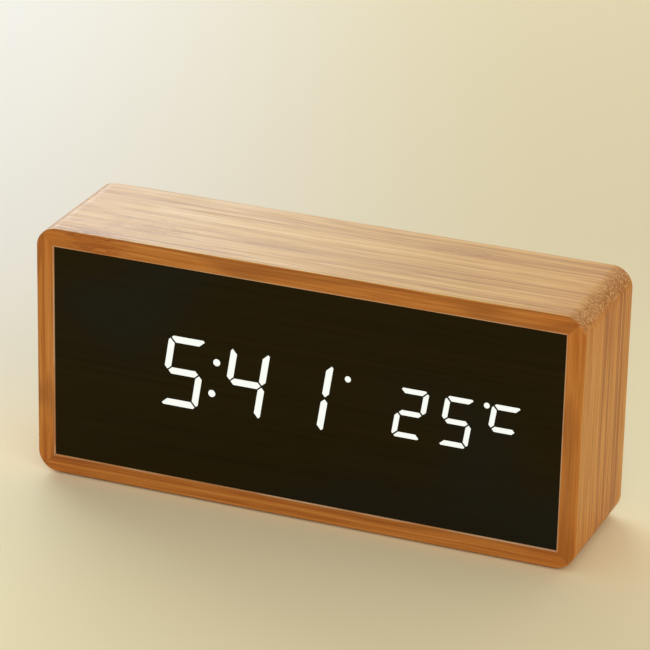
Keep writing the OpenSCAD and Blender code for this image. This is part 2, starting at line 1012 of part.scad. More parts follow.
// Sound switch: a box with a slot, and the slider that stands in the slot
slide_h = 4.7;
slider_l = 2.2;
slider_w = 1.8;
slider_head_l = 3;

module slide_switch() {
    half = [4.3, 2.2];
    color("silver")
        translate([sound_x, switch_face_y + 0.02, mid_z + control_z])
            difference() {
                block([-half[0], 0, -half[1]], [half[0], slide_h, half[1]]);
                block(
                    [-(slider_l + switch_travel) / 2 - 0.2, slide_h - 2.2, -slider_w / 2 - 0.1],
                    [(slider_l + switch_travel) / 2 + 0.2, slide_h + eps, slider_w / 2 + 0.1]
                );
            }
}

module switch_slider() {
    base_y = switch_face_y + slide_h - 2;
    neck_y = cover_y - 0.8;
    tip_y = cover_y + 0.7;
    ridge = 0.3;
    color("gainsboro")
        translate([sound_x - switch_travel / 2, 0, mid_z + control_z])
            difference() {
                union() {
                    block([-slider_l / 2, base_y, -slider_w / 2], [slider_l / 2, tip_y, slider_w / 2]);
                    block(
                        [-slider_head_l / 2, neck_y, -slider_w / 2],
                        [slider_head_l / 2, tip_y, slider_w / 2]
                    );
                }
                for (i = [-1 : 1])
                    block(
                        [i * 0.8 - ridge / 2, tip_y - ridge, -slider_w / 2 - eps],
                        [i * 0.8 + ridge / 2, tip_y + eps, slider_w / 2 + eps]
                    );
            }
}

// Power inlet: a folded metal shell with two cut lower corners, and the tongue inside it
function shell_outline(half_w, half_h, cut) = [
    [-half_w, half_h],
    [half_w, half_h],
    [half_w, cut - half_h],
    [half_w - cut, -half_h],
    [cut - half_w, -half_h],
    [-half_w, cut - half_h]
];

shell_t = 0.3;
shell_half = [3.75, 1.4];
shell_mouth_y = cover_y - 0.3;

module power_socket() {
    color("silver")
        translate([socket_x, 0, mid_z + control_z])
            difference() {
                slab(switch_face_y + 0.02, shell_mouth_y)
                    polygon(shell_outline(shell_half[0], shell_half[1], 1.1));
                slab(switch_face_y, shell_mouth_y + eps)
                    polygon(shell_outline(shell_half[0] - shell_t, shell_half[1] - shell_t, 1));
            }
}

module socket_tongue() {
    base_h = 4;
    tongue = [3.7, 0.6];
    color("#1b1b1b")
        translate([socket_x, 0, mid_z + control_z]) {
            slab(switch_face_y + 0.02, switch_face_y + base_h)
                square([5, 1.9], center = true);
            slab(switch_face_y + base_h - eps, shell_mouth_y - 0.8)
                translate([0, 0.35])
                    square(tongue, center = true);
        }
}

module buzzer() {
    buzzer_r = 4.5;
    x = buzzer_at[0];
    z = mid_z + buzzer_at[1];
    top_y = switch_face_y + 4.5;
    color("#151515")
        difference() {
            rod_y(x, z, buzzer_r, switch_face_y + 0.02, top_y);
            rod_y(x, z, 0.9, top_y - 3, top_y + eps);
        }
}

module microphone() {
    mic_r = 3;
    z = mid_z + control_z;
    top_y = switch_face_y + 2.7;
    color("silver")
        difference() {
            rod_y(mic_x, z, mic_r, switch_face_y + 0.02, top_y);
            rod_y(mic_x, z, mic_r - 0.6, top_y - 0.2, top_y + eps);
        }
}

// Bead on two thin legs, close behind the vents
module thermistor() {
    bead_r = 1.1;
    bead_y = switch_face_y + 4.5;
    color("black") {
        translate([bead_at[0], bead_y, mid_z + bead_at[1]])
            sphere(r = bead_r, $fn = 32);
        for (side = [-1, 1])
            rod_y(bead_at[0] + side * 0.6, mid_z + bead_at[1], 0.25, switch_face_y + 0.02, bead_y);
    }
}

// ---------------------------------------------------------------- ribbon cable

module ribbon_socket(x, y0, y1) {
    half = [2.2, 6];
    block([x - half[0], y0, mid_z - half[1]], [x + half[0], y1, mid_z + half[1]]);
}

ribbon_y0 = board_back_y + plug_h;
ribbon_y1 = switch_board_y - plug_h;

module ribbon_sockets() {
    color("ivory") {
        ribbon_socket(ribbon_from_x, board_back_y + 0.02, ribbon_y0);
        ribbon_socket(ribbon_to_x, ribbon_y1, switch_board_y - 0.02);
    }
}

// Quarter of a flat ring about the origin, from the +X side to the +Y side
module quarter_bend(r, t) {
    intersection() {
        difference() {
            circle(r + t / 2);
            circle(r - t / 2);
        }
        square(r + t);
    }
}

// Flat cable: up from one socket, across, and up into the other
module ribbon_cable() {
    cross_y = (ribbon_y0 + ribbon_y1) / 2;
    half_t = ribbon_t / 2;
    color("lightgray")
        translate([0, 0, mid_z - ribbon_w / 2])
            linear_extrude(ribbon_w) {
                translate([ribbon_from_x - half_t, ribbon_y0 + 0.02])
                    square([ribbon_t, cross_y - ribbon_r - ribbon_y0]);
                translate([ribbon_from_x + ribbon_r, cross_y - ribbon_r])
                    mirror([1, 0])
                        quarter_bend(ribbon_r, ribbon_t);
                translate([ribbon_from_x + ribbon_r - eps, cross_y - half_t])
                    square([ribbon_to_x - ribbon_from_x - 2 * ribbon_r + 2 * eps, ribbon_t]);
                translate([ribbon_to_x - ribbon_r, cross_y + ribbon_r])
                    mirror([0, 1])
                        quarter_bend(ribbon_r, ribbon_t);
                translate([ribbon_to_x - half_t, cross_y + ribbon_r - eps])
                    square([ribbon_t, ribbon_y1 - cross_y - ribbon_r - 0.01]);
            }
}

// ---------------------------------------------------------------- what is drawn

case_top();
case_bottom();
case_left();
case_right();
feet();
front_panel();
time_segments();
colon_dots();
alarm_dot();
temperature_segments();
unit_segments();
diffuser_film();
reflector_block();
display_board();
led_chips();
controller_chip();
driver_chip();
crystal();
capacitors();
resistors();
display_board_screws();
left_rail();
right_rail();
rear_cover();
rear_cover_screws();
battery_door();
battery_cells();
positive_terminal();
negative_terminal();
right_link_contact();
left_link_contact();
battery_lead_red();
battery_lead_black();
button_board();
button_board_screws();
tact_switches();
set_plunger();
up_plunger();
down_plunger();
set_button();
up_button();
down_button();
slide_switch();
switch_slider();
power_socket();
socket_tongue();
buzzer();
microphone();
thermistor();
ribbon_sockets();
ribbon_cable();
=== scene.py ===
import math

import bmesh
import bpy
from mathutils import Matrix, Vector


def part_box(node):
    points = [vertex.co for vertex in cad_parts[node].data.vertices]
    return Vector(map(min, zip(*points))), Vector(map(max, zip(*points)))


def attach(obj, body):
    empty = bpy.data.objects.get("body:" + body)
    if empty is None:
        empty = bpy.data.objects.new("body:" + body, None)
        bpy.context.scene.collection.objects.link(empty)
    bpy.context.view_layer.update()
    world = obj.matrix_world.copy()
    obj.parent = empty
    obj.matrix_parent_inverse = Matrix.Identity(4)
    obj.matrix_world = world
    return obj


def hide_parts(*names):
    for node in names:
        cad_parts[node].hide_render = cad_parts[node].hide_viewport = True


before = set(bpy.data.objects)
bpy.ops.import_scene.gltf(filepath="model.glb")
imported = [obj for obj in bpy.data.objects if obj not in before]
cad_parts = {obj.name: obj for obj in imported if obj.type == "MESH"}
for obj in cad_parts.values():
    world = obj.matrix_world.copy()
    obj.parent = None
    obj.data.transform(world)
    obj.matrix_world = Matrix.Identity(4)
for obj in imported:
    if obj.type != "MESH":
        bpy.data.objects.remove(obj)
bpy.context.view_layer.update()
MM = 0.001      # lengths are in millimetres unless they say metres, and this turns them into metres

side_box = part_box("case_right")
top_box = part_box("case_top")
THICK = (side_box[1].x - side_box[0].x) / MM
HALF_WIDE = side_box[0].x / MM
MIDDLE = (top_box[0].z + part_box("case_bottom")[1].z) / 2 / MM
HALF_HIGH = top_box[0].z / MM - MIDDLE
FRONT, BACK = top_box[0].y / MM, top_box[1].y / MM


# ---------------------------------------------------------------- camera and light

AIM = Vector((-1.506, 0.0, 47.438)) * MM
AZIMUTH = math.radians(21.598)
ELEVATION = math.radians(22.741)
ROLL = math.radians(1.257)
DISTANCE = 954.575 * MM
LENS = 204.29
SENSOR = 36.0
CLIP = (0.01, 50.0)                     # metres

DAYLIGHT = (1.0, 0.97, 0.93)
DAYLIGHT_STRENGTH = 0.55
LIT_PLACE = Vector((0.0, 0.0, 0.03))    # metres
# soft boxes: name, place and size in metres, power in watts, colour
LIGHTS = (
    ("window", (-0.97, 1.02, 0.58), (1.12, 0.85), 12.4, (0.73, 0.92, 1.0)),
    ("backdrop", (-0.55, 2.05, 0.90), (3.6, 1.3), 13.5, DAYLIGHT),
    ("front_fill", (1.2, -1.6, 1.2), (2.2, 1.2), 15.0, (1.0, 0.94, 0.86)),
)


def make_camera():
    """A long lens, turned to the right of the front and a little above it."""
    right = Vector((math.cos(AZIMUTH), math.sin(AZIMUTH), 0.0))
    back = Vector((math.sin(AZIMUTH) * math.cos(ELEVATION),
                   -math.cos(AZIMUTH) * math.cos(ELEVATION),
                   math.sin(ELEVATION)))
    axes = Matrix((right, back.cross(right), back)).transposed().to_4x4()
    data = bpy.data.cameras.new("camera")
    data.lens = LENS
    data.sensor_width = SENSOR
    data.clip_start, data.clip_end = CLIP
    camera = bpy.data.objects.new("camera", data)
    bpy.context.scene.collection.objects.link(camera)
    camera.matrix_world = (Matrix.Translation(AIM + back * DISTANCE)
                           @ Matrix.Rotation(ROLL, 4, back) @ axes)
    bpy.context.scene.camera = camera


def make_light(name, place, size, power, colour):
    """A rectangular soft box that faces the clock."""
    data = bpy.data.lights.new(name, "AREA")
    data.shape = "RECTANGLE"
    data.size, data.size_y = size
    data.energy = power
    data.color = colour
    lamp = bpy.data.objects.new(name, data)
    bpy.context.scene.collection.objects.link(lamp)
    lamp.location = place
    lamp.visible_camera = False
    lamp.rotation_mode = "QUATERNION"
    lamp.rotation_quaternion = (LIT_PLACE - Vector(place)).to_track_quat("-Z", "Y")


def make_world():
    """Even daylight from all round."""
    world = bpy.data.worlds.new("daylight")
    bpy.context.scene.world = world
    world.use_nodes = True
    sky = world.node_tree.nodes["Background"]
    sky.inputs["Color"].default_value = (*DAYLIGHT, 1.0)
    sky.inputs["Strength"].default_value = DAYLIGHT_STRENGTH


# ---------------------------------------------------------------- material helpers

class Shader:
    """A procedural material. Its patterns are laid out in millimetres in the part's own frame."""

    def __init__(self, name):
        self.material = bpy.data.materials.new(name)
        self.material.use_nodes = True
        self.tree = self.material.node_tree
        self.surface = self.tree.nodes["Principled BSDF"]
        metres = self.add("ShaderNodeTexCoord").outputs["Object"]
        self.place = self.mapped(metres, (1 / MM,) * 3)

    def feed(self, socket, value):
        """Links another node's output to the socket, or sets a plain value on it."""
        if isinstance(value, bpy.types.NodeSocket):
            self.tree.links.new(value, socket)
        elif socket.type == "RGBA":
            socket.default_value = (*value[:3], 1.0)
        else:
            socket.default_value = value

    def add(self, kind, inputs=None, **settings):
        """A new node with those settings and inputs."""
        node = self.tree.nodes.new(kind)
        for key, value in settings.items():
            setattr(node, key, value)
        for key, value in (inputs or {}).items():
            self.feed(node.inputs[key], value)
        return node

    def set(self, **inputs):
        """Sets sockets of the surface: base_color becomes Base Color."""
        names = {s.name.lower().replace(" ", "_"): s for s in reversed(self.surface.inputs)}
        for key, value in inputs.items():
            self.feed(names[key], value)

    def math(self, operation, *values):
        node = self.add("ShaderNodeMath", operation=operation)
        for socket, value in zip(node.inputs, values):
            self.feed(socket, value)
        return node.outputs[0]

    def plus(self, first, second):
        return self.math("ADD", first, second)

    def minus(self, first, second):
        return self.math("SUBTRACT", first, second)

    def times(self, first, second):
        return self.math("MULTIPLY", first, second)

    def swing(self, pattern, reach):
        """A pattern that ran from 0 to 1, moved to lie about 0 and made reach wide."""
        return self.times(self.minus(pattern, 0.5), reach)

    def mapped(self, vector, scale, shift=(0.0, 0.0, 0.0)):
        node = self.add("ShaderNodeMapping", {"Vector": vector, "Scale": scale, "Location": shift})
        return node.outputs["Vector"]

    def split(self, vector):
        return self.add("ShaderNodeSeparateXYZ", {"Vector": vector}).outputs

    def joined(self, x, y, z):
        return self.add("ShaderNodeCombineXYZ", {"X": x, "Y": y, "Z": z}).outputs["Vector"]

    def between(self, value, low, high, first=0.0, last=1.0):
        """A smooth step from first to last as value goes from low to high."""
        node = self.add("ShaderNodeMapRange",
                        {"Value": value, "From Min": low, "From Max": high,
                         "To Min": first, "To Max": last},
                        interpolation_type="SMOOTHSTEP")
        return node.outputs["Result"]

    def noise(self, grain, vector=None, detail=2.0, roughness=0.5):
        """Cloudy noise whose lumps measure grain millimetres along X, Y and Z."""
        stretched = self.mapped(vector or self.place, [1 / g for g in grain])
        node = self.add("ShaderNodeTexNoise",
                        {"Vector": stretched, "Scale": 1.0, "Detail": detail,
                         "Roughness": roughness})
        return node.outputs["Fac"]

    def cells(self, grain, vector=None, randomness=1.0):
        """How far the nearest of scattered points is. They lie about grain millimetres apart."""
        stretched = self.mapped(vector or self.place, [1 / g for g in grain])
        node = self.add("ShaderNodeTexVoronoi",
                        {"Vector": stretched, "Scale": 1.0, "Randomness": randomness})
        return node.outputs["Distance"]

    def mix(self, factor, first, second, blend="MIX"):
        """Two colours mixed. The node's colour sockets are 6 and 7, and its colour output is 2."""
        return self.add("ShaderNodeMix", {0: factor, 6: first, 7: second},
                        data_type="RGBA", blend_type=blend).outputs[2]

    def tinted(self, colour, tint):
        return self.mix(1.0, colour, tint, "MULTIPLY")

    def ramp(self, factor, stops):
        """A colour ramp through (position, colour) stops."""
        node = self.add("ShaderNodeValToRGB", {"Fac": factor})
        elements = node.color_ramp.elements
        elements.remove(elements[1])
        elements[0].position = stops[0][0]
        for position, colour in stops[1:]:
            elements.new(position)
        for element, (position, colour) in zip(elements, stops):
            element.color = (*colour, 1.0)
        return node.outputs["Color"]

    def bump(self, height, depth):
        """Relief of that depth in millimetres."""
        node = self.add("ShaderNodeBump", {"Height": height, "Distance": depth * MM})
        self.feed(self.surface.inputs["Normal"], node.outputs["Normal"])


def shade(colour, factor):
    """The colour made that many times as bright."""
    return tuple(min(1.0, c * factor) for c in colour)


# ---------------------------------------------------------------- bamboo

BAMBOO_STOPS = (
    (0.16, (0.41, 0.160, 0.022)),
    (0.52, (0.60, 0.295, 0.054)),
    (0.88, (0.74, 0.425, 0.125)),
)
BAMBOO_PORE = (0.22, 0.070, 0.012)
PORE_STRENGTH = 0.30
GLUE_STRENGTH = 0.35
# painted shade: a darker, redder tone on the faces towards the front and back
SAWN_SHADE_TINT = (0.915, 0.69, 0.66)
KNOT_TINT = (0.94, 0.86, 0.82)
END_TINT = (0.97, 0.88, 0.74)
END_GRAIN_STOPS = (
    (0.12, (0.82, 0.53, 0.29)),
    (0.38, (0.62, 0.300, 0.085)),
    (0.66, (0.40, 0.150, 0.032)),
)
# painted highlight along the arris beside the front panel
ARRIS_HIGHLIGHT_COLOUR = (0.66, 0.44, 0.28)

# Sizes of patterns: along the board, through its depth and through its thickness
DRIFT = (80, 10, 10)                    # how the strips wander
WAVER = (5, 2.2, 2.2)                   # how the fibres waver at a joint of the cane
RAGGED = (5, 1.0, 1.0)                  # how uneven that joint's outline is
FIBRE = (22, 0.42, 0.42)
STREAKS = (((95, 3.2, 3.2), 0.26), ((52, 1.25, 1.25), 0.62))                   # size, weight
LONG_STREAK = (260, 0.95, 0.95)
DARK_LINES = (((90, 2.6, 2.6), 0.050, 0.17), ((42, 1.7, 1.7), 0.045, 0.12))    # size, width, depth
VESSEL = (15, 0.55, 0.55)
VESSEL_CROWD = (45, 3.2, 3.2)
END_DOT = (4.5, 0.44, 0.44)
END_ROUGH = (3, 1.2, 1.2)
ARRIS_HIGHLIGHT_PATCH = (18, 4, 4)

# Weights of patterns in the wood's tone, where 1 is the whole way from dark to pale
FIBRE_WEIGHT = 0.64
JOINT_WEIGHT = 0.16
SAWN_CALM = 0.45                        # how much weaker the streaks are on the sawn faces

# Where one thing fades into another
STRIP_BLEND = 0.04                      # at each side of a strip, as a share of its width
GLUE_LINE = (0.478, 0.497)              # from a strip's middle, in widths of it
JOINT_FADE = (0.30, 1.30)               # from a joint's middle, in half sizes of it
SAWN_TURN = (0.35, 0.80)                # how far the surface faces to the front or back
CUT_TURN = (0.10, 0.56)                 # how far it faces along the fibres
END_OIL = (3.0, 20.0)                   # from the board's end
ARRIS_HIGHLIGHT_HEIGHT = (0.26, 0.46)            # from the board's inner face
ARRIS_HIGHLIGHT_DEPTH = (0.30, 0.45)             # from the board's front

GLOSS = (0.44, 0.33)                    # roughness of the softest and the hardest fibres
CUT_ROUGHER = 0.20
CUT_STRENGTH = 0.85
RELIEF = 0.016


def cane_joints(s, lengthways, board, depth, joints):
    """How strongly each point belongs to one of the cane's joints."""
    knot = 0.0
    ragged = s.swing(s.noise(RAGGED, board, 4.0), 2.0)
    for place, across, half_length, half_width, strength in joints:
        offset = s.joined(s.math("DIVIDE", s.minus(lengthways, place), half_length),
                          s.math("DIVIDE", s.minus(depth, across), half_width), 0.0)
        away = s.add("ShaderNodeVectorMath", {0: offset}, operation="LENGTH").outputs["Value"]
        spot = s.between(s.plus(away, ragged), *JOINT_FADE, strength, 0.0)
        knot = s.math("MAXIMUM", knot, spot)
    return knot


def strips(s, across, tones):
    """One tone to each strip from front to back, and the thin glue line between two strips."""
    count = len(tones)
    stops = []
    for i, tone in enumerate(tones):
        for share in (STRIP_BLEND, 1 - STRIP_BLEND):
            stops.append(((i + share) / count, (tone,) * 3))
    from_middle = s.math("ABSOLUTE", s.minus(s.math("FRACT", s.times(across, float(count))), 0.5))
    return s.ramp(across, stops), s.between(from_middle, *GLUE_LINE)


def bamboo(name, along, tones, tint, joints, seed):
    """Laminated bamboo: strips side by side through the depth, with fibres that run along the board.

    along is the board's long axis, tones holds how pale each strip is from front to back, and tint
    is painted light on the outer face, set board by board: a pale, bluish painted sheen on the top
    and a warmer, darker painted shade on the others. The sawn front and back faces get a darker,
    redder painted shade. joints holds the joints of the cane: place along the board, depth, half
    length, half width, strength."""
    s = Shader(name)
    x, y, z = s.split(s.place)
    if along == "X":
        lengthways, through, middle, half, half_long = x, z, MIDDLE, HALF_HIGH, HALF_WIDE
    else:
        lengthways, through, middle, half, half_long = z, x, 0.0, HALF_WIDE, HALF_HIGH
        lengthways = s.minus(lengthways, MIDDLE)
    board = s.mapped(s.joined(lengthways, y, through), (1, 1, 1), (seed * 41.3, 0, seed * 17.9))

    # the fibres wander slowly, and waver where the cane had a joint
    knot = cane_joints(s, lengthways, board, y, joints)
    waver = s.swing(s.noise(WAVER, board, 2.0), 3.4)
    shift = s.plus(s.swing(s.noise(DRIFT, board, 1.0), 2.2), s.times(waver, knot))
    grain = s.add("ShaderNodeVectorMath", {0: board, 1: s.joined(0.0, shift, shift)},
                  operation="ADD").outputs[0]

    normal = s.split(s.add("ShaderNodeTexCoord").outputs["Normal"])
    facing_end = s.math("ABSOLUTE", normal["X" if along == "X" else "Z"])
    sawn = s.between(s.math("ABSOLUTE", normal["Y"]), *SAWN_TURN)
    calm = s.minus(1.0, s.times(sawn, SAWN_CALM))

    # how pale the wood is: strips, streaks, fibres and thin darker lines
    across = s.math("DIVIDE", s.minus(s.plus(y, shift), FRONT), BACK - FRONT)
    strip, glue = strips(s, across, tones)
    broad = [s.swing(s.noise(size, grain, 2.0, 0.55), weight) for size, weight in STREAKS]
    fibre = s.noise(FIBRE, grain, 3.0, 0.55)
    tone = s.plus(strip, s.plus(s.times(s.plus(*broad), calm), s.swing(fibre, FIBRE_WEIGHT)))
    dull = s.times(s.between(strip, 0.34, 0.60, 2.6, 0.50), calm)
    long_streak = s.swing(s.noise(LONG_STREAK, grain, 1.0, 0.55), 1.0)
    tone = s.plus(tone, s.times(long_streak, dull))
    tone = s.minus(tone, s.times(knot, JOINT_WEIGHT))
    for size, width, depth in DARK_LINES:
        level = s.math("ABSOLUTE", s.minus(s.noise(size, grain, 1.0), 0.5))
        tone = s.minus(tone, s.times(s.between(level, width * 0.2, width, depth, 0.0), calm))
    colour = s.ramp(tone, BAMBOO_STOPS)

    # bundles of vessels show as fine dark dashes
    reach = s.between(s.noise(VESSEL_CROWD, grain, 1.0), 0.40, 0.75, 0.02, 0.26)
    pore = s.math("LESS_THAN", s.cells(VESSEL, grain), reach)
    colour = s.mix(s.times(pore, PORE_STRENGTH), colour, BAMBOO_PORE)
    colour = s.mix(s.times(glue, GLUE_STRENGTH), colour, BAMBOO_PORE)

    # painted light and oil: the board's tint outside is painted light, the sawn faces get a darker
    # painted shade, and oil darkens the wood at joints and near the ends
    colour = s.tinted(colour, s.mix(sawn, tint, SAWN_SHADE_TINT))
    colour = s.mix(knot, colour, s.tinted(colour, KNOT_TINT))
    to_end = s.minus(half_long + THICK, s.math("ABSOLUTE", lengthways))
    colour = s.mix(s.between(to_end, *END_OIL, 1.0, 0.0), colour, s.tinted(colour, END_TINT))

    # the rounded corners cut across the fibres
    rough = s.swing(s.noise(END_ROUGH, grain), 0.36)
    cut = s.between(s.plus(facing_end, rough), *CUT_TURN)
    dots = s.ramp(s.cells(END_DOT, grain), END_GRAIN_STOPS)
    colour = s.mix(s.times(cut, CUT_STRENGTH), colour, dots)

    # the arris beside the front panel is painted paler in patches: a painted highlight where its
    # rounding catches the light
    height = s.minus(s.math("ABSOLUTE", s.minus(through, middle)), half)
    from_front = s.between(y, *(FRONT + depth for depth in ARRIS_HIGHLIGHT_DEPTH), 1.0, 0.0)
    arris_highlight = s.times(s.between(height, *ARRIS_HIGHLIGHT_HEIGHT, 1.0, 0.0), from_front)
    arris_highlight = s.times(arris_highlight, s.between(s.noise(ARRIS_HIGHLIGHT_PATCH, board), 0.35, 0.60, 0.20, 0.70))
    colour = s.mix(arris_highlight, colour, ARRIS_HIGHLIGHT_COLOUR)

    relief = s.minus(s.times(fibre, 0.6), s.times(pore, 0.5))
    s.bump(s.minus(relief, glue), RELIEF)
    gloss = s.between(fibre, 0.30, 0.70, *GLOSS)
    s.set(base_color=colour, roughness=s.plus(gloss, s.times(cut, CUT_ROUGHER)),
          specular_ior_level=0.22)
    return s.material


# ---------------------------------------------------------------- other materials

def blended(s, slow, fine, share):
    """A slow pattern with a share of a finer one."""
    return s.plus(s.times(slow, 1 - share), s.times(fine, share))


def panel_black():
    """The tinted front: near-black, with a faint grain along the clock."""
    s = Shader("panel_black")
    streak = s.noise((80, 3, 0.9), detail=3.0, roughness=0.6)
    thread = s.noise((30, 3, 0.22), detail=2.0)
    tone = blended(s, streak, thread, 0.3)
    colour = s.ramp(tone, ((0.30, (0.0130, 0.0085, 0.0010)), (0.52, (0.0170, 0.0112, 0.0014)),
                           (0.74, (0.0215, 0.0142, 0.0022))))
    cloud = s.between(s.noise((55, 55, 38), detail=1.0), 0.45, 0.72)
    colour = s.mix(s.times(cloud, 0.8), colour, (0.0125, 0.0125, 0.0085))
    s.bump(tone, 0.006)
    s.set(base_color=colour, roughness=s.between(thread, 0.3, 0.7, 0.42, 0.56),
          specular_ior_level=0.05)
    return s.material


def led_light():
    """Glowing bars behind a clear film, a little uneven in strength."""
    s = Shader("led_light")
    film = s.noise((0.12, 0.12, 0.12), detail=1.0)
    tone = blended(s, s.noise((3.2, 3.2, 3.2), detail=1.0), film, 0.2)
    s.set(base_color=s.mix(tone, (0.05, 0.05, 0.045), (0.08, 0.08, 0.075)),
          roughness=s.between(film, 0.3, 0.7, 0.35, 0.5),
          emission_color=s.mix(tone, (0.88, 0.92, 0.84), (0.98, 1.0, 0.95)),
          emission_strength=0.95)
    return s.material


def plastic(name, colour, roughness, grain=0.14, depth=0.010, spread=0.10):
    """Moulded plastic with a fine eroded texture and a slow change of tone."""
    s = Shader(name)
    fine = s.noise((grain,) * 3, detail=2.0, roughness=0.6)
    tone = blended(s, s.noise((16, 16, 16), detail=2.0), fine, 0.3)
    s.bump(fine, depth)
    s.set(base_color=s.mix(tone, shade(colour, 1 - spread), shade(colour, 1 + spread)),
          roughness=s.between(fine, 0.3, 0.7, roughness - 0.06, roughness + 0.06))
    return s.material


def metal(name, colour, roughness, brush=(6.0, 0.05, 0.05), depth=0.003):
    """Plated or bare metal with fine drawn lines."""
    s = Shader(name)
    lines = s.noise(brush, detail=3.0, roughness=0.6)
    haze = s.noise((2.4, 2.4, 2.4), detail=2.0)
    s.bump(lines, depth)
    s.set(base_color=s.mix(haze, shade(colour, 0.86), shade(colour, 1.08)), metallic=1.0,
          roughness=s.between(lines, 0.25, 0.75, roughness - 0.08, roughness + 0.10))
    return s.material


def circuit_board():
    """Green mask over glass cloth, with paler copper lines under the mask."""
    s = Shader("pcb_green")
    z = s.split(s.place)["Z"]
    step = s.math("FLOOR", s.times(s.noise((14, 14, 14), detail=0.0), 9.0))
    rows = s.math("PINGPONG", s.plus(z, s.times(step, 0.8)), 0.9)
    patch = s.between(s.noise((9, 9, 9), detail=0.0), 0.50, 0.54)
    track = s.times(s.between(rows, 0.62, 0.70), patch)
    cloth = s.cells((0.35, 0.35, 0.35), randomness=0.2)
    colour = s.mix(track, (0.010, 0.085, 0.030), (0.035, 0.170, 0.055))
    colour = s.mix(s.times(cloth, 0.25), colour, (0.012, 0.060, 0.022))
    s.bump(s.plus(track, s.times(cloth, 0.2)), 0.02)
    s.set(base_color=colour, roughness=s.between(cloth, 0.1, 0.6, 0.28, 0.38))
    return s.material


# Measured from a cell's middle towards its plus end
CELL_BAND = (13.0, 18.8)
CELL_SLEEVE_END = 23.2


def cell_sleeve():
    """Pale shrink sleeve with a plain band near the plus end, and bare metal at both ends."""
    s = Shader("cell_sleeve")
    place = s.split(s.place)
    low, high = (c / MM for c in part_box("battery_cells"))
    middle = (low + high) / 2
    # the middle one of the three cells lies the other way round
    reach = (high.z - low.z) / 6
    level = s.math("ABSOLUTE", s.minus(place["Z"], middle.z))
    way = s.between(level, reach - 0.01, reach, 1.0, -1.0)
    to_plus = s.times(s.minus(place["X"], middle.x), way)
    start, end = CELL_BAND
    band = s.times(s.between(to_plus, start, start + 0.2), s.between(to_plus, end - 0.2, end, 1, 0))
    normal = s.split(s.add("ShaderNodeTexCoord").outputs["Normal"])
    bare = s.math("MAXIMUM", s.between(s.math("ABSOLUTE", normal["X"]), 0.80, 0.95),
                  s.between(to_plus, CELL_SLEEVE_END, CELL_SLEEVE_END + 0.1))
    film = s.noise((20, 0.8, 0.8), detail=2.0)
    colour = s.mix(band, s.mix(film, (0.40, 0.41, 0.42), (0.48, 0.49, 0.50)),
                   s.mix(film, (0.020, 0.095, 0.100), (0.028, 0.125, 0.130)))
    s.bump(film, 0.010)
    s.set(base_color=s.mix(bare, colour, (0.62, 0.61, 0.58)), metallic=bare,
          roughness=s.between(film, 0.3, 0.7, 0.24, 0.36), coat_weight=0.2, coat_roughness=0.15)
    return s.material


CORE_HALF = 0.5
RIBBON_MARK = (39.0, 39.1)


def ribbon():
    """Grey flat cable: parallel cores with a groove between them, and one marked edge."""
    s = Shader("ribbon_grey")
    z = s.split(s.place)["Z"]
    core = s.math("PINGPONG", z, CORE_HALF)
    # the cores are paler along their crowns and darker in the grooves between them: painted
    # highlight and painted shade
    tone = s.plus(s.times(core, 1.2), s.times(s.noise((3, 3, 3), detail=2.0), 0.4))
    colour = s.mix(tone, (0.20, 0.20, 0.21), (0.42, 0.42, 0.43))
    s.bump(core, 0.15)
    s.set(base_color=s.mix(s.between(z, *RIBBON_MARK), colour, (0.45, 0.04, 0.03)),
          roughness=s.between(tone, 0.0, 1.0, 0.5, 0.4))
    return s.material


STRIPE_EDGE = (12.9, 13.3)


def capacitor():
    """Shrink sleeve with a pale stripe along its lower side."""
    s = Shader("capacitor_sleeve")
    film = s.noise((1.5, 1.5, 1.5), detail=2.0)
    stripe = s.between(s.split(s.place)["Z"], *STRIPE_EDGE, 1.0, 0.0)
    colour = s.mix(film, (0.012, 0.016, 0.045), (0.020, 0.026, 0.065))
    s.bump(film, 0.02)
    s.set(base_color=s.mix(stripe, colour, (0.46, 0.47, 0.50)),
          roughness=s.between(film, 0.3, 0.7, 0.28, 0.40))
    return s.material


BLACK = (0.0165, 0.0165, 0.0175)

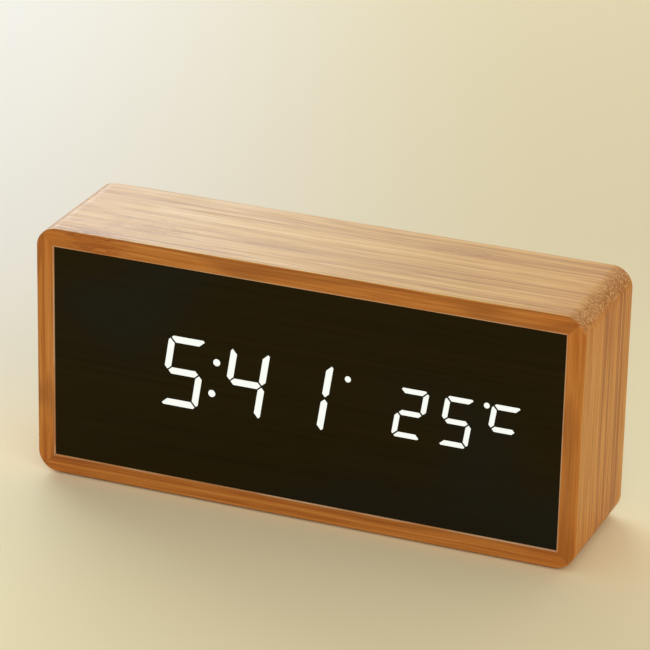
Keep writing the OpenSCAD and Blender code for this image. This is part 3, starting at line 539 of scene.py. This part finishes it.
# One for each of the record's slots but bamboo
MATERIALS = {
    "panel_black": panel_black(),
    "led_light": led_light(),
    "film_white": plastic("film_white", (0.62, 0.62, 0.60), 0.55, 0.10, 0.004),
    "reflector_white": plastic("reflector_white", (0.66, 0.66, 0.64), 0.48, 0.16, 0.008),
    "pcb_green": circuit_board(),
    "led_chip": plastic("led_chip", (0.72, 0.66, 0.34), 0.35, 0.2, 0.006),
    "chip_black": plastic("chip_black", (0.022, 0.022, 0.023), 0.52, 0.08, 0.010),
    "can_metal": metal("can_metal", (0.64, 0.64, 0.63), 0.28),
    "capacitor_sleeve": capacitor(),
    "screw_steel": metal("screw_steel", (0.56, 0.56, 0.57), 0.30, (0.6, 3.0, 0.6)),
    "rail_black": plastic("rail_black", (0.020, 0.020, 0.021), 0.50, 0.18, 0.012),
    "cover_black": plastic("cover_black", BLACK, 0.52, 0.22, 0.022, 0.14),
    "door_black": plastic("door_black", shade(BLACK, 1.06), 0.50, 0.22, 0.020, 0.14),
    "cell_sleeve": cell_sleeve(),
    "contact_nickel": metal("contact_nickel", (0.66, 0.63, 0.56), 0.24, (0.05, 4.0, 0.05)),
    "lead_red": plastic("lead_red", (0.42, 0.020, 0.016), 0.42, 0.5, 0.010),
    "lead_black": plastic("lead_black", (0.018, 0.018, 0.018), 0.42, 0.5, 0.010),
    "switch_body": plastic("switch_body", (0.045, 0.045, 0.048), 0.50, 0.12, 0.008),
    "plunger_ivory": plastic("plunger_ivory", (0.60, 0.55, 0.44), 0.42, 0.2, 0.006),
    "button_grey": plastic("button_grey", (0.120, 0.122, 0.128), 0.44, 0.16, 0.010, 0.08),
    "slider_white": plastic("slider_white", (0.62, 0.62, 0.60), 0.40, 0.16, 0.008, 0.05),
    "tongue_black": plastic("tongue_black", (0.020, 0.020, 0.020), 0.40, 0.12, 0.006),
    "buzzer_black": plastic("buzzer_black", (0.020, 0.020, 0.020), 0.36, 0.3, 0.008),
    "bead_black": plastic("bead_black", (0.028, 0.026, 0.024), 0.34, 0.3, 0.012),
    "connector_ivory": plastic("connector_ivory", (0.58, 0.54, 0.45), 0.45, 0.16, 0.008),
    "ribbon_grey": ribbon(),
    "foot_rubber": plastic("foot_rubber", (0.032, 0.032, 0.033), 0.62, 0.20, 0.014),
}


# ---------------------------------------------------------------- pieces

CREASE = math.radians(38.0)             # sharper edges stay sharp in the shading
TURNED_SIDES = 48
ROUND_STEPS = 5


def add_piece(name, bm, material, body, slot, *nodes):
    """Turns a bmesh into a piece of the clock that stands for those CAD nodes."""
    bmesh.ops.recalc_face_normals(bm, faces=bm.faces)
    mesh = bpy.data.meshes.new(name)
    bm.to_mesh(mesh)
    bm.free()
    mesh.polygons.foreach_set("use_smooth", [True] * len(mesh.polygons))
    mesh.set_sharp_from_angle(angle=CREASE)
    mesh.materials.append(material)
    piece = bpy.data.objects.new(name, mesh)
    bpy.context.scene.collection.objects.link(piece)
    piece.modifiers.new("even_normals", "WEIGHTED_NORMAL").keep_sharp = True
    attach(piece, body)
    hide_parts(*nodes)


def bridge(bm, rings):
    """Closed skin through rings of vertices, with a flat face at each end."""
    for first, second in zip(rings, rings[1:]):
        for i in range(len(first)):
            j = (i + 1) % len(first)
            bm.faces.new((first[i], first[j], second[j], second[i]))
    bm.faces.new(rings[0])
    bm.faces.new(rings[-1])


def turned(bm, outline, centre):
    """Turns an outline of (radius, depth) points about an axis along Y through centre."""
    rings = []
    for radius, depth in outline:
        if radius == 0:
            rings.append([bm.verts.new(Vector((centre[0], depth, centre[1])) * MM)])
            continue
        angles = [2 * math.pi * i / TURNED_SIDES for i in range(TURNED_SIDES)]
        rings.append([bm.verts.new(Vector((centre[0] + radius * math.cos(a), depth,
                                           centre[1] + radius * math.sin(a))) * MM)
                      for a in angles])
    for first, second in zip(rings, rings[1:]):
        for i in range(TURNED_SIDES):
            j = (i + 1) % TURNED_SIDES
            corners = [first[i % len(first)], first[j % len(first)],
                       second[j % len(second)], second[i % len(second)]]
            bm.faces.new(list(dict.fromkeys(corners)))


def rounded(radius, depth, size):
    """Points of a quarter round that takes a turned edge at (radius, depth) from side to top."""
    turns = [math.radians(90 * i / ROUND_STEPS) for i in range(ROUND_STEPS + 1)]
    return [(radius - size + size * math.cos(t), depth - size + size * math.sin(t)) for t in turns]


# ---------------------------------------------------------------- bamboo boards

CORNER = 5.5
MITRE_GAP = 0.03
OUTER_EDGE = 0.50
INNER_EDGE = 0.30
EDGE_WEAR = 0.05                        # how much the rounding of the outer edges varies
SEAM_DEPTH = 0.05
SEAM_WIDTH = 0.08

# Distances from a board's end at which it has a cross-section, followed by MIDDLE_STEPS more to
# its middle
END_STEPS = [0.0, SEAM_WIDTH] + [0.4 + 0.3 * i for i in range(14)] + [7.0, 12.0, 20.0]
MIDDLE_STEPS = 6


def section(edge, inset):
    """Cross-section of a board as (depth, height above the inner face), with rounded edges."""
    corners = (
        (FRONT + inset, 1, THICK - inset, -1, edge, 180, 6),
        (BACK - inset, -1, THICK - inset, -1, edge, 90, 6),
        (BACK - inset, -1, inset, 1, INNER_EDGE, 0, 3),
        (FRONT + inset, 1, inset, 1, INNER_EDGE, -90, 3),
    )
    points = []
    for depth, inward, height, upward, radius, start, steps in corners:
        for i in range(steps + 1):
            turn = math.radians(start - 90 * i / steps)
            points.append((depth + inward * radius + radius * math.cos(turn),
                           height + upward * radius + radius * math.sin(turn)))
    return points


def layer_at(height, half_long, half_across, u):
    """How far from the middle of the clock a layer of the board lies at the place u along it."""
    radius = CORNER * height / THICK
    past = u - (half_long + height - radius)
    if past <= 0:
        return half_across + height
    return half_across + height - radius + math.sqrt(max(radius ** 2 - past ** 2, 0.0))


def mitre(height, half_long, half_across):
    """Where that layer meets the mitre, found by halving."""
    low, high = half_long - 1, half_long + height + 0.5
    for _ in range(40):
        u = (low + high) / 2
        rise = layer_at(height, half_long, half_across, u) - half_across
        if u - half_long - rise < -MITRE_GAP / math.sqrt(2):
            low = u
        else:
            high = u
    return low


def make_board(name, node, half_long, half_across, place, material):
    """A board that turns half-way into the rounded corner at each end, where it is mitred."""
    longest = mitre(THICK, half_long, half_across)
    span = longest - END_STEPS[-1]
    steps = END_STEPS + [END_STEPS[-1] + span * i / MIDDLE_STEPS for i in range(1, MIDDLE_STEPS + 1)]
    bm = bmesh.new()
    rings = []
    for side in (-1, 1):
        for step in steps if side < 0 else reversed(steps[:-1]):
            share = side * (1 - step / longest)
            worn = OUTER_EDGE * (1 + EDGE_WEAR * math.sin(5.1 * share + 1.3 * half_long))
            ring = []
            for depth, height in section(worn, SEAM_DEPTH if step == 0 else 0.0):
                u = share * mitre(height, half_long, half_across)
                v = layer_at(height, half_long, half_across, abs(u))
                ring.append(bm.verts.new(Vector(place(u, depth, v)) * MM))
            rings.append(ring)
    bridge(bm, rings)
    add_piece(name, bm, material, "case", "bamboo", node)


def make_case():
    """The four boards, each with its own wood."""
    # each board's tint (its fifth argument) is painted light: a pale, bluish painted sheen on the
    # top and a warmer, darker painted shade on the other boards
    top = bamboo("bamboo_top", "X", (0.50, 0.60, 0.48, 0.57, 0.63, 0.49, 0.55), (1.07, 1.14, 1.28),
                 ((-58, -19, 8, 7, 0.9), (-49, -8, 13, 6, 0.7), (34, 11, 12, 3, 0.4)), 1)
    bottom = bamboo("bamboo_bottom", "X", (0.45, 0.56, 0.44, 0.60, 0.50, 0.46, 0.57),
                    (1.0, 0.92, 0.85), ((22, 6, 12, 4, 0.7),), 2)
    left = bamboo("bamboo_left", "Z", (0.52, 0.60, 0.50, 0.44, 0.56, 0.62, 0.48),
                  (1.0, 0.90, 0.90), ((-12, 7, 10, 4, 0.6),), 3)
    right = bamboo("bamboo_right", "Z", (0.54, 0.64, 0.60, 0.38, 0.52, 0.38, 0.47),
                   (1.0, 0.81, 0.55), (), 4)
    make_board("bamboo_top", "case_top", HALF_WIDE, HALF_HIGH,
               lambda u, y, v: (u, y, MIDDLE + v), top)
    make_board("bamboo_bottom", "case_bottom", HALF_WIDE, HALF_HIGH,
               lambda u, y, v: (u, y, MIDDLE - v), bottom)
    make_board("bamboo_left", "case_left", HALF_HIGH, HALF_WIDE,
               lambda u, y, v: (-v, y, MIDDLE + u), left)
    make_board("bamboo_right", "case_right", HALF_HIGH, HALF_WIDE,
               lambda u, y, v: (v, y, MIDDLE + u), right)


# ---------------------------------------------------------------- back: softened copies and buttons

WELD = 0.0005
FLAT_ANGLE = math.radians(0.8)          # faces that meet at less than this are joined up
SHARP_ANGLE = math.radians(40)          # edges that are sharper than this are rounded
ON_PLANE = 0.02
BEVEL_STEPS = 2

# Outer faces with softened edges: piece, node, body, slot, radius
SOFTENED = (
    ("cover_shell", "rear_cover", "case", "cover_black", 0.22),
    ("door_lid", "battery_door", "battery_door", "door_black", 0.16),
    ("screw_heads", "rear_cover_screws", "case", "screw_steel", 0.10),
    ("slider_tip", "switch_slider", "sound_slider", "slider_white", 0.12),
)
FOOT_EDGE = 0.15

CAP_RADIUS = 2.6
CAP_EDGE = 0.30
FLANGE_THICK = 0.9
FLANGE_BELOW = 3.7                      # from the cap's top
DISH = ((2.25, 0.0), (1.70, -0.13), (1.15, -0.22), (0.55, -0.28), (0.0, -0.30))


def soften(name, node, body, slot, radius, chosen):
    """Stands a copy of the node in its place, with the sharp edges that chosen picks rounded."""
    bm = bmesh.new()
    bm.from_mesh(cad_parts[node].data)
    bmesh.ops.remove_doubles(bm, verts=bm.verts, dist=WELD * MM)
    bmesh.ops.dissolve_limit(bm, angle_limit=FLAT_ANGLE, verts=bm.verts, edges=bm.edges)
    edges = [e for e in bm.edges
             if len(e.link_faces) == 2 and e.calc_face_angle(0.0) > SHARP_ANGLE and chosen(e)]
    bmesh.ops.bevel(bm, geom=edges, offset=radius * MM, offset_type="OFFSET",
                    segments=BEVEL_STEPS, profile=0.5, affect="EDGES", clamp_overlap=True)
    add_piece(name, bm, MATERIALS[slot], body, slot, node)


def at_depth(depth):
    """Picks the edges that lie in the plane Y = depth, in metres."""
    return lambda e: all(abs(v.co.y - depth) < ON_PLANE * MM for v in e.verts)


def make_button(name, node):
    """A dished cap on a flanged stem."""
    low, high = (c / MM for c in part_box(node))
    centre = ((low.x + high.x) / 2, (low.z + high.z) / 2)
    flange = (high.x - low.x) / 2
    under = high.y - FLANGE_BELOW
    outline = [(0.0, low.y), (CAP_RADIUS, low.y), (CAP_RADIUS, under - FLANGE_THICK),
               (flange, under - FLANGE_THICK), (flange, under), (CAP_RADIUS, under)]
    outline += rounded(CAP_RADIUS, high.y, CAP_EDGE)
    outline += [(radius, high.y + drop) for radius, drop in DISH]
    bm = bmesh.new()
    turned(bm, outline, centre)
    add_piece(name + "_cap", bm, MATERIALS["button_grey"], node, "button_grey", node)


def make_back():
    """The cover, door, screws, slider and feet with softened edges, and the three buttons."""
    for name, node, body, slot, radius in SOFTENED:
        soften(name, node, body, slot, radius, at_depth(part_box(node)[1].y))
    soften("foot_pads", "feet", "case", "foot_rubber", FOOT_EDGE,
           lambda e: all(v.co.z < ON_PLANE * MM for v in e.verts))
    for name in ("set", "up", "down"):
        make_button(name, name + "_button")


# ---------------------------------------------------------------- printed signs on the cover

SIGN_THICK = 0.03
SIGN_RISE = 6.3                         # from the middle of a button to its sign
RING = (1.15, 0.75)                     # outer and inner radius
ARROW = ((-1.15, -0.8), (1.15, -0.8), (0.0, 1.1))
BARS = ((0.75, 0.7), (-0.25, 1.3), (-1.25, 1.9))    # left end and height
BAR_WIDE = 0.55
BAR_FOOT = -1.9


def make_signs():
    """A ring for set, arrows for up and down, and rising bars for sound."""
    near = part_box("rear_cover")[1].y / MM
    far = near + SIGN_THICK
    bm = bmesh.new()

    def middle(node):
        low, high = (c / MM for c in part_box(node))
        return (low.x + high.x) / 2, (low.z + high.z) / 2 + SIGN_RISE

    def flat(node, outline, way=1):
        x, z = middle(node)
        bridge(bm, [[bm.verts.new(Vector((x + u, y, z + way * v)) * MM) for u, v in outline]
                    for y in (near, far)])

    outer, inner = RING
    turned(bm, [(outer, near), (outer, far), (inner, far), (inner, near), (outer, near)],
           middle("set_button"))
    bmesh.ops.remove_doubles(bm, verts=bm.verts, dist=0.001 * MM)
    flat("up_button", ARROW)
    flat("down_button", ARROW, -1)
    for left, height in BARS:
        right, top = left + BAR_WIDE, height + BAR_FOOT
        flat("slide_switch", ((left, BAR_FOOT), (right, BAR_FOOT), (right, top), (left, top)))
    add_piece("cover_signs", bm, MATERIALS["slider_white"], "case", "slider_white")


# ---------------------------------------------------------------- finishes of the CAD's own nodes

def finish_nodes():
    """Gives each carried-over node the material of its slot."""
    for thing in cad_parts.values():
        for holder in thing.material_slots:
            slot = holder.material.name.split(".")[0] if holder.material else None
            if slot in MATERIALS:
                holder.material = MATERIALS[slot]


# ---------------------------------------------------------------- floor

# the floor's colours are painted light: a painted reflection of the window to the left and a painted
# shade to the right
FLOOR_NEAR = (0.95, 0.835, 0.53)
FLOOR_RIGHT_SHADE = (0.75, 0.63, 0.39)
FLOOR_LEFT_SHEEN = (0.86, 0.80, 0.73)
FLOOR_DEPTH = (-70.0, 210.0)            # where the fade starts and ends, away from the camera
FLOOR_WIDTH = (-150.0, 80.0)            # and to the camera's right
FLOOR_HAZE = (400, 400, 400)
FLOOR_HALF = 3.0                        # metres


def floor_with_painted_light():
    """Cream in front of the clock, fading behind it to a whiter tone on the left and a darker one on
    the
    right: painted light, the whiter left a painted reflection of the window and the darker right a
    painted shade.
    """
    s = Shader("floor")
    place = s.split(s.place)

    def along(x_share, y_share):
        return s.plus(s.times(place["X"], x_share), s.times(place["Y"], y_share))

    far = s.between(along(-math.sin(AZIMUTH), math.cos(AZIMUTH)), *FLOOR_DEPTH)
    left = s.between(along(math.cos(AZIMUTH), math.sin(AZIMUTH)), *FLOOR_WIDTH, 1.0, 0.0)
    haze = s.noise(FLOOR_HAZE, detail=1.0)
    colour = s.mix(far, FLOOR_NEAR, s.mix(left, FLOOR_RIGHT_SHADE, FLOOR_LEFT_SHEEN))
    s.set(base_color=s.mix(haze, colour, s.mix(0.97, (1.0, 1.0, 1.0), colour)),
          roughness=s.between(haze, 0.3, 0.7, 0.65, 0.75), specular_ior_level=0.15)
    return s.material


def make_floor():
    """A plain tabletop."""
    bm = bmesh.new()
    bm.faces.new([bm.verts.new((x * FLOOR_HALF, y * FLOOR_HALF, 0.0))
                  for x, y in ((-1, -1), (1, -1), (1, 1), (-1, 1))])
    mesh = bpy.data.meshes.new("floor")
    bm.to_mesh(mesh)
    bm.free()
    mesh.materials.append(floor_with_painted_light())
    floor = bpy.data.objects.new("floor", mesh)
    bpy.context.scene.collection.objects.link(floor)


# ---------------------------------------------------------------- the scene

make_camera()
make_world()
for light in LIGHTS:
    make_light(*light)
make_case()
make_back()
make_signs()
finish_nodes()
make_floor()
bpy.context.scene.view_settings.view_transform = "Standard"
